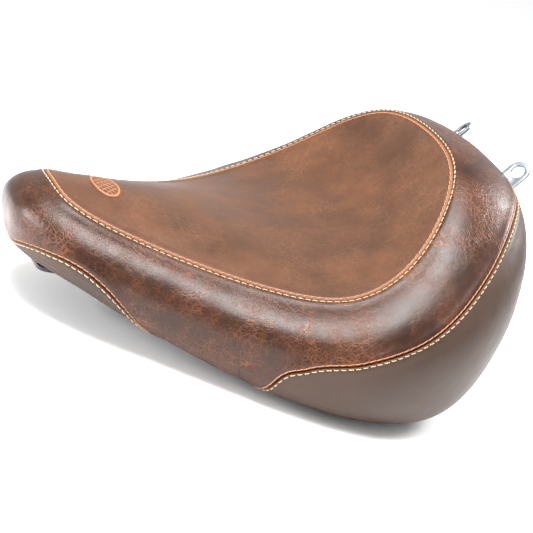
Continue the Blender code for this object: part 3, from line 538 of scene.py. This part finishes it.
PANEL_RIPPLE = (34.0, 0.5)  # mm across and mm high
panel_stations = seam_stations(-LAST, LAST, top_line, COLUMN)
panel_stations = (panel_stations - panel_stations[::-1]) / 2
panel_lengths = row_lengths(panel_stations, top_line(panel_stations))
panel_rate = square_rate(panel_stations, np.full(len(panel_stations), -1e-6), top_line)
panel_edge = -(EDGE_STEPS[:, None] + SEAM_SPLIT) / panel_rate
middle = np.linspace(0, 1, 26)[1:, None]
panel_lines = np.concatenate([panel_edge, panel_edge[-1] * (1 - middle) - PANEL_SPAN * middle])
panel_lines[-1] = -PANEL_SPAN
panel_rows, panel_outer = loop_rows(panel_lines)


def panel_points(column, row):
    line = panel_lines[panel_rows[row], column]
    station = panel_stations[column]
    distance = -line * panel_rate[column]
    needle = needle_marks(distance, panel_lengths[column], even_pitch(panel_lengths))
    proud = seam_height(distance) - NEEDLE_DIP * needle
    proud = proud + ripple(surface(station, line), *PANEL_RIPPLE) * smooth(4, 14, distance)
    face = on_face(row, panel_rows, panel_outer)
    depth = cover_depth(proud, face)
    wear = 0.55 * np.exp(-((distance - 0.8) / 0.6) ** 2) * face
    return skin(station, line, depth), {"edge_wear": wear, "needle": needle}


top_panel = grid_piece("top_panel_vinyl", panel_points, len(panel_stations) - 1, len(panel_rows) - 1,
                       top_vinyl_painted_lit)
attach(top_panel, "root")
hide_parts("top_panel")

# ---------------------------------------------------------------- side band of the cover
# The band wraps the shoulders all round. It is sewn to the top panel above and to the
# skirts below, and between the skirts it is turned in under the pan.
FRONT_SEAM = [(0.0, 4.3), (0.5, 4.0), (1.0, 3.5), (1.5, 3.0), (2.0, 2.7), (2.4, 2.8), (2.7, 3.2),
              (2.95, 3.9), (3.1, 4.5), (3.4, 5.8)]
REAR_SEAM = [(4.55, 5.8), (4.75, 4.9), (4.9, 4.1), (5.07, 3.3), (5.4, 2.8), (6.0, 2.62), (6.8, 2.62),
             (7.6, 2.45), (8.4, 2.35), (9.2, 2.5), (10.0, 2.6)]


def eased(points):
    """A smooth line through a seam's points, at fine steps."""
    x = np.array([p[0] for p in points])
    y = np.array([p[1] for p in points])
    slope = np.gradient(y, x)
    fine = np.linspace(x[0], x[-1], 801)
    i = np.clip(np.searchsorted(x, fine, side="right") - 1, 0, len(x) - 2)
    h = x[i + 1] - x[i]
    t = (fine - x[i]) / h
    curve = (
        (2 * t**3 - 3 * t**2 + 1) * y[i] + (t**3 - 2 * t**2 + t) * h * slope[i]
        + (3 * t**2 - 2 * t**3) * y[i + 1] + (t**3 - t**2) * h * slope[i + 1]
    )
    return fine, curve


FRONT_EASED = eased(FRONT_SEAM)
REAR_EASED = eased(REAR_SEAM)
FRONT_TIP = FRONT_SEAM[-1][0]
REAR_TIP = REAR_SEAM[0][0]


def front_line(station):
    return np.interp(np.abs(station), *FRONT_EASED, right=TUCK_LINE)


def rear_line(station):
    return np.interp(np.abs(station), *REAR_EASED, left=TUCK_LINE)


def skirt_line(station):
    """Where the band ends below: a skirt seam, or the turned-in edge."""
    return np.minimum(front_line(station), rear_line(station))


BAND_COLUMN = COLUMN * 1.1
SKIRT_TIPS = ((2.5, 3.5), (4.45, 5.5))  # stations round a skirt's end, where the seam turns down
TIP_COLUMNS = 40
SEWN_MARGIN = 0.1          # of a line, above the turned-in edge
TURNED_RATE = 26.0         # mm for each line at the turned-in edge
BAND_SQUEEZE = 30          # mm, the seam's rows close up where the band is narrower
FAR = 99.0                 # mm, no seam near
SEAM_REACH = 20            # mm from the lower seam, as far as it shapes the band
BAND_RIPPLE = (30.0, 0.6)
band_stations = seam_stations(-LAST, LAST, top_line, BAND_COLUMN)
extra = np.concatenate([np.linspace(a, b, TIP_COLUMNS) for a, b in SKIRT_TIPS])
band_stations = np.unique(np.round(np.concatenate([band_stations, extra, -extra]), 5))
top_rate = square_rate(band_stations, np.full(len(band_stations), 1e-6), top_line)
low_line = skirt_line(band_stations)
low_rate = square_rate(band_stations, low_line - STEP, skirt_line)
sewn_low = low_line < TUCK_LINE - SEWN_MARGIN
low_rate = np.where(sewn_low, low_rate, TURNED_RATE)
low_line = np.where(sewn_low, low_line - SEAM_SPLIT / low_rate, TUCK_LINE)
band_top = (EDGE_STEPS[:, None] + SEAM_SPLIT) / top_rate
room = low_line - band_top[-1]
rising = EDGE_STEPS[::-1, None]
band_low = low_line - np.minimum(rising / low_rate, room * rising / BAND_SQUEEZE)
middle = np.linspace(0, 1, 32)[1:-1, None]
band_lines = np.concatenate([band_top, band_top[-1] * (1 - middle) + band_low[0] * middle, band_low])
band_rows, band_outer = loop_rows(band_lines)
band_lengths = row_lengths(band_stations, top_line(band_stations))
CENTRE_SPLIT = 0.01        # of a station, at the rear skirts' upright seam
TIP_SPLIT = 0.05           # of a station, at a skirt's end
RATE_MARGIN = 0.05         # of a line, kept from the turned-in edge
SKIRTS = {
    "front_skirt": (TIP_SPLIT - FRONT_TIP, FRONT_TIP - TIP_SPLIT, front_line),
    "rear_skirt_left": (REAR_TIP + TIP_SPLIT, LAST - CENTRE_SPLIT, rear_line),
    "rear_skirt_right": (CENTRE_SPLIT - LAST, -REAR_TIP - TIP_SPLIT, rear_line),
}
skirt_seams = {}
for name, (first, last, seam_line) in SKIRTS.items():
    stations = seam_stations(first, last, seam_line, COLUMN)
    seam = seam_line(stations)
    rate = square_rate(stations, np.minimum(seam, TUCK_LINE - RATE_MARGIN), seam_line)
    lengths = row_lengths(stations, seam)
    skirt_seams[name] = (stations, seam, rate, lengths, even_pitch(lengths))


def band_points(column, row):
    line = band_lines[band_rows[row], column]
    station = band_stations[column]
    distance = line * top_rate[column]
    below = np.where(sewn_low[column], (low_line[column] - line) * low_rate[column], FAR)
    needle = needle_marks(distance, band_lengths[column], even_pitch(band_lengths))
    for stations, _, _, lengths, pitch in skirt_seams.values():
        over = (station > stations[0]) & (station < stations[-1])
        needle = np.maximum(needle, over * needle_marks(below, np.interp(station, stations, lengths), pitch))
    proud = seam_height(distance) + seam_height(np.maximum(below, 0)) * (below < SEAM_REACH)
    proud = proud - NEEDLE_DIP * needle
    base = surface(station, line)
    proud = proud + ripple(base, *BAND_RIPPLE) * smooth(6, 16, distance) * smooth(4, 14, below)
    face = on_face(row, band_rows, band_outer)
    depth = cover_depth(proud, face)
    wear = 0.25 * np.exp(-distance / 0.7) * face
    return skin(station, line, depth), {"edge_wear": wear, "needle": needle}


side_band = grid_piece("side_band_vinyl", band_points, len(band_stations) - 1, len(band_rows) - 1, band_vinyl_painted_shade)
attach(side_band, "root")
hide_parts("side_band")

# ---------------------------------------------------------------- skirts of the cover
# Three lower panels of plainer vinyl: one under the nose, and a left and a right one that
# meet in an upright seam at the rear. Their lower edges are turned in under the pan.
SKIRT_SQUEEZE = 14         # mm, the seam's rows close up where the skirt is narrower
SKIRT_SEWN = 0.4           # of a line, the least depth of skirt that is stitched
SKIRT_RIPPLE = (40.0, 0.5)


def skirt(name):
    """One skirt between its seam and the turned-in edge."""
    stations, seam, rate, lengths, pitch = skirt_seams[name]
    room = TUCK_LINE - seam
    falling = EDGE_STEPS[:, None] + SEAM_SPLIT
    step = np.minimum(falling / rate, room * falling / SKIRT_SQUEEZE)
    upper = seam + step
    middle = np.linspace(0, 1, 30)[1:, None]
    lines = np.concatenate([upper, upper[-1] * (1 - middle) + TUCK_LINE * middle])
    rows, outer = loop_rows(lines)

    def points(column, row):
        line = lines[rows[row], column]
        station = stations[column]
        distance = (line - seam[column]) * rate[column]
        needle = needle_marks(distance, lengths[column], pitch) * (room[column] > SKIRT_SEWN)
        proud = seam_height(distance) - NEEDLE_DIP * needle
        proud = proud + ripple(surface(station, line), *SKIRT_RIPPLE) * smooth(6, 16, distance)
        face = on_face(row, rows, outer)
        depth = cover_depth(proud, face)
        wear = 0.3 * np.exp(-distance / 0.8) * face
        return skin(station, line, depth), {"edge_wear": wear, "needle": needle}

    piece = grid_piece(name + "_vinyl", points, len(stations) - 1, len(rows) - 1, skirt_vinyl)
    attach(piece, "root")
    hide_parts(name)


for name in SKIRTS:
    skirt(name)

# ---------------------------------------------------------------- topstitching
# Bonded polyester thread in a row on each side of every seam but the upright one at the
# rear, orange on the upper side and cream on the lower. Each stitch dives into its holes.
THREAD = 0.85              # mm thick
PLY_WAVE = 3.15            # mm, sets the wave's bands, the plies, about 1.1 mm apart
LEAN = 0.35                # mm, how far a stitch slants across its row
LIFT = 0.45                # a stitch's centre rises this share of its thickness
ROW_MARGIN = 0.3           # of a line, no seam nearer the turned-in edge is stitched
THREAD_MARGIN = 0.05       # of a line, no thread nearer the turned-in edge
STITCH_SHAPE = np.array([0.0, 0.12, 0.32, 0.5, 0.68, 0.88, 1.0])


def thread(name, colour, ply_groove_shade):
    material, shader = start_material(name, colour, 0.5)
    place = add_node(material, "TexCoord").outputs["Object"]
    plies = add_node(material, "TexWave", {"bands_direction": "DIAGONAL"},
                     {"Scale": 1000 / PLY_WAVE, "Distortion": 1.5}, {"Vector": place})
    # The wave's low bands, the grooves between the plies, are painted darker: painted shade in the grooves.
    ramp = add_node(material, "ValToRGB", links={"Fac": plies.outputs["Fac"]})
    ramp.color_ramp.elements[0].color = hex_colour(ply_groove_shade)
    ramp.color_ramp.elements[1].color = hex_colour(colour)
    connect(material, ramp.outputs["Color"], shader.inputs["Base Color"])
    bump = add_node(material, "Bump", values={"Strength": 0.5, "Distance": 0.0002},
                    links={"Height": plies.outputs["Fac"]})
    connect(material, bump.outputs["Normal"], shader.inputs["Normal"])
    shader.inputs["Sheen Weight"].default_value = 0.25
    return material


orange_thread = thread("bonded polyester orange", "#bd7a48", "#8a5027")
cream_thread = thread("bonded polyester cream", "#cbb793", "#9c8058")


def sew(name, stations, seam, rate, lengths, pitch, gap, dip, material):
    """A row of stitches beside a seam, each a short bent length of thread."""
    side = np.sign(rate[0])
    curve = bpy.data.curves.new(name, "CURVE")
    curve.dimensions = "3D"
    curve.bevel_depth = THREAD / 2 * MM
    curve.bevel_resolution = 1
    curve.use_fill_caps = True
    count = round(lengths[-1] / pitch)
    top = float(seam_height(ROW))
    for index in range(count):
        share = (index + gap / 2 / pitch) + STITCH_SHAPE * (1 - gap / pitch)
        at = np.interp(share * pitch, lengths, stations)
        start = np.interp(at, stations, seam)
        scale = np.interp(at, stations, np.abs(rate))
        across = ROW + LEAN * (STITCH_SHAPE - 0.5)
        line = start + side * across / scale
        if start.max() > TUCK_LINE - ROW_MARGIN or line.max() > TUCK_LINE - THREAD_MARGIN:
            continue
        rise = np.sin(np.pi * STITCH_SHAPE) ** 0.5 * (THREAD * LIFT + dip) - dip
        spots = skin(at, line, -(top + rise))
        spline = curve.splines.new("POLY")
        spline.points.add(len(spots) - 1)
        for point, spot in zip(spline.points, spots):
            point.co = (*(spot * MM), 1.0)
    holder = bpy.data.objects.new(name + "_line", curve)
    bpy.context.scene.collection.objects.link(holder)
    mesh = bpy.data.meshes.new_from_object(holder.evaluated_get(bpy.context.evaluated_depsgraph_get()))
    bpy.data.objects.remove(holder)
    mesh.name = name
    mesh.shade_smooth()
    mesh.materials.clear()
    mesh.materials.append(material)
    row = bpy.data.objects.new(name, mesh)
    bpy.context.scene.collection.objects.link(row)
    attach(row, "root")


UPPER_GAP = 0.6            # mm of needle hole between two stitches
LOWER_GAP = 1.5
UPPER_DIP = 0.25           # mm each end of a stitch goes down into its hole
LOWER_DIP = 0.6
panel_seam = (panel_stations, top_line(panel_stations), -panel_rate, panel_lengths,
              even_pitch(panel_lengths))
band_seam = (band_stations, top_line(band_stations), top_rate, band_lengths, even_pitch(band_lengths))
sew("stitches_top_panel", *panel_seam, UPPER_GAP, UPPER_DIP, orange_thread)
sew("stitches_top_band", *band_seam, LOWER_GAP, LOWER_DIP, cream_thread)
for name, (stations, seam, rate, lengths, pitch) in skirt_seams.items():
    sew(f"stitches_{name}_upper", stations, seam, -rate, lengths, pitch, UPPER_GAP, UPPER_DIP,
        orange_thread)
    sew(f"stitches_{name}_lower", stations, seam, rate, lengths, pitch, LOWER_GAP, LOWER_DIP, cream_thread)

# ---------------------------------------------------------------- oval badge
# A plain oval of the same vinyl, pressed with a hot die into a diamond quilt inside a rim.
# The rubbed colour shows tan on the raised lines.
BADGE_MIDDLE = Vector((0.0, -152.0, 0.0))
BADGE_HALF = (23.0, 13.0)
QUILT = 7.0                # mm between the diamonds' lines
RIM = 0.86                 # share of the radius where the rim begins
BADGE_RISE = 0.9           # mm, the rim
QUILT_SHARE = 0.55         # of that, the quilt's lines
BADGE_BASE = 0.12          # mm, the lowest part above the vinyl
BADGE_SINK = 0.6           # mm, the edge goes into the vinyl
HIGH = 200                 # mm, well above the panel at the badge
SPOKES = 128
RINGS = 44
panel_tree = BVHTree.FromObject(top_panel, bpy.context.evaluated_depsgraph_get())


def badge_points(column, row):
    angle = column / SPOKES * 2 * math.pi
    share = 1 - row / RINGS
    x = BADGE_HALF[0] * share * np.cos(angle)
    y = BADGE_HALF[1] * share * np.sin(angle)
    rising = np.abs(((x + y) / QUILT + 0.5) % 1 - 0.5)
    falling = np.abs(((x - y) / QUILT + 0.5) % 1 - 0.5)
    quilt = np.minimum(rising, falling)
    line = 1 - smooth(0.03, 0.16, quilt)
    rim = smooth(RIM - 0.05, RIM, share) * (1 - smooth(0.95, 1.0, share))
    inside = 1 - smooth(RIM - 0.12, RIM - 0.06, share)
    height = BADGE_RISE * np.maximum(rim, QUILT_SHARE * line * inside)
    height = height + BADGE_BASE - BADGE_SINK * smooth(0.97, 1.0, share)
    spots = []
    for px, py, ph in zip(x, y, height):
        above = Vector((px, py + BADGE_MIDDLE.y, HIGH)) * MM
        spot, normal, _, _ = panel_tree.ray_cast(above, Vector((0, 0, -1)))
        spots.append(spot / MM + normal * ph)
    return np.array(spots), {"edge_wear": 0.9 * np.maximum(rim, line * inside), "needle": np.zeros(len(x))}


badge = grid_piece("badge_oval", badge_points, SPOKES, RINGS, top_vinyl_painted_lit)
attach(badge, "root")

# ---------------------------------------------------------------- rear tabs
# Two flat steel tabs, cut from 3 mm bar with a round end and one hole, the edges tumbled
# smooth, and zinc plated. They are bolted to the brackets inside and come out at the seam.
TAB_EYE = Vector((56.0, 207.5, 220.0))  # centre of the left tab's hole
TAB_RISE = math.radians(54)             # the tab leans back from here
TAB_ROLL = math.radians(18)             # and its outer edge is rolled down
TAB_WIDTH = 22.0
TAB_HOLE = 13.0
TAB_SHANK = 62.0                        # from the hole to the tab's hidden end
STEEL = 3.0
ROUNDED = 0.5                           # radius of the tumbled edges
TAB_ARC = 24                            # sides to the round end, half a turn
HOLE_ARC = 20                           # sides to half the hole
SAME_CORNER = 1e-6                      # m
SHARP = math.radians(50)
rise = Vector((0, math.cos(TAB_RISE), math.sin(TAB_RISE)))
square = Vector((0, -rise.z, rise.y))
for side_name, sign in (("left", 1), ("right", -1)):
    level = math.cos(TAB_ROLL)
    face_up = Vector((sign * math.sin(TAB_ROLL), level * square.y, level * square.z))
    across = rise.cross(face_up)
    outline = bpy.data.curves.new("tab_outline", "CURVE")
    outline.dimensions = "2D"
    outline.fill_mode = "BOTH"
    outline.extrude = (STEEL / 2 - ROUNDED) * MM
    outline.bevel_depth = ROUNDED * MM
    outline.bevel_resolution = 3
    outline.offset = -ROUNDED * MM
    half = TAB_WIDTH / 2
    arc = [(half * math.cos(math.pi * i / TAB_ARC), half * math.sin(math.pi * i / TAB_ARC))
           for i in range(TAB_ARC + 1)]
    bore = TAB_HOLE / 2
    hole = [(bore * math.cos(-math.pi * i / HOLE_ARC), bore * math.sin(-math.pi * i / HOLE_ARC))
            for i in range(2 * HOLE_ARC)]
    for corners in ([(half, -TAB_SHANK)] + arc + [(-half, -TAB_SHANK)], hole):
        spline = outline.splines.new("POLY")
        spline.points.add(len(corners) - 1)
        spline.use_cyclic_u = True
        for point, (x, y) in zip(spline.points, corners):
            point.co = (x * MM, y * MM, 0, 1)
    holder = bpy.data.objects.new("tab_outline", outline)
    bpy.context.scene.collection.objects.link(holder)
    mesh = bpy.data.meshes.new_from_object(holder.evaluated_get(bpy.context.evaluated_depsgraph_get()))
    bpy.data.objects.remove(holder)
    data = bmesh.new()
    data.from_mesh(mesh)
    bmesh.ops.remove_doubles(data, verts=data.verts, dist=SAME_CORNER)
    turn = Matrix((across, rise, face_up)).transposed().to_4x4()
    turn.translation = TAB_EYE * Vector((sign, 1, 1)) * MM
    data.transform(turn)
    bmesh.ops.recalc_face_normals(data, faces=data.faces)
    data.to_mesh(mesh)
    data.free()
    mesh.shade_smooth()
    mesh.set_sharp_from_angle(angle=SHARP)
    mesh.materials.clear()
    mesh.materials.append(zinc)
    tab = bpy.data.objects.new(f"rear_tab_{side_name}_plate", mesh)
    bpy.context.scene.collection.objects.link(tab)
    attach(tab, "root")
    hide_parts(f"rear_tab_{side_name}")

# ---------------------------------------------------------------- floor, light and camera
# A plain pale floor under soft studio light: a wide box overhead, a smaller one in front of
# the nose and one behind and above the rear, in a white room.
FLOOR_HALF = 30.0          # m
floor_material, shader = start_material("pale studio floor", "#ffffff", 0.8)
data = bmesh.new()
bmesh.ops.create_grid(data, x_segments=1, y_segments=1, size=FLOOR_HALF)
mesh = bpy.data.meshes.new("floor")
data.to_mesh(mesh)
data.free()
mesh.materials.append(floor_material)
floor = bpy.data.objects.new("floor", mesh)
bpy.context.scene.collection.objects.link(floor)


def area_light(name, spot, aim, size, power):
    """A rectangular light at a spot, turned to face another, in metres and watts."""
    light = bpy.data.lights.new(name, "AREA")
    light.shape = "RECTANGLE"
    light.size, light.size_y = size
    light.energy = power
    lamp = bpy.data.objects.new(name, light)
    lamp.location = spot
    lamp.rotation_euler = (Vector(aim) - Vector(spot)).to_track_quat("-Z", "Y").to_euler()
    bpy.context.scene.collection.objects.link(lamp)


area_light("overhead_box", spot=(0.3, -0.35, 1.25), aim=(0.05, -0.05, 0.1), size=(0.9, 0.8), power=44)
area_light("nose_box", spot=(-0.12, -1.5, 0.42), aim=(0.0, -0.2, 0.08), size=(0.45, 0.45), power=26)
area_light("rear_box", spot=(-0.1, 1.25, 0.95), aim=(0.05, 0.1, 0.12), size=(0.5, 0.5), power=22)
world = bpy.data.worlds.new("studio")
world.use_nodes = True
world.node_tree.nodes["Background"].inputs["Color"].default_value = hex_colour("#ffffff")
world.node_tree.nodes["Background"].inputs["Strength"].default_value = 0.92
bpy.context.scene.world = world
bpy.context.scene.view_settings.view_transform = "Standard"

CAMERA_BACK = Vector((0.8387, -0.4527, 0.3026))   # from the seat towards the camera
CAMERA_RIGHT = Vector((0.3584, 0.8773, 0.3193))   # towards the right of the picture
CAMERA_TARGET = Vector((0.0, 0.02442, 0.06605))
CAMERA_DISTANCE = 1.564                           # m
CAMERA_LENS = 114.8                               # mm
camera_data = bpy.data.cameras.new("camera")
camera_data.lens = CAMERA_LENS
camera_data.clip_end = 100.0
camera = bpy.data.objects.new("camera", camera_data)
bpy.context.scene.collection.objects.link(camera)
back = CAMERA_BACK.normalized()
right = (CAMERA_RIGHT - back * CAMERA_RIGHT.dot(back)).normalized()
turn = Matrix((right, back.cross(right), back)).transposed().to_4x4()
turn.translation = CAMERA_TARGET + back * CAMERA_DISTANCE
camera.matrix_world = turn
bpy.context.scene.camera = camera
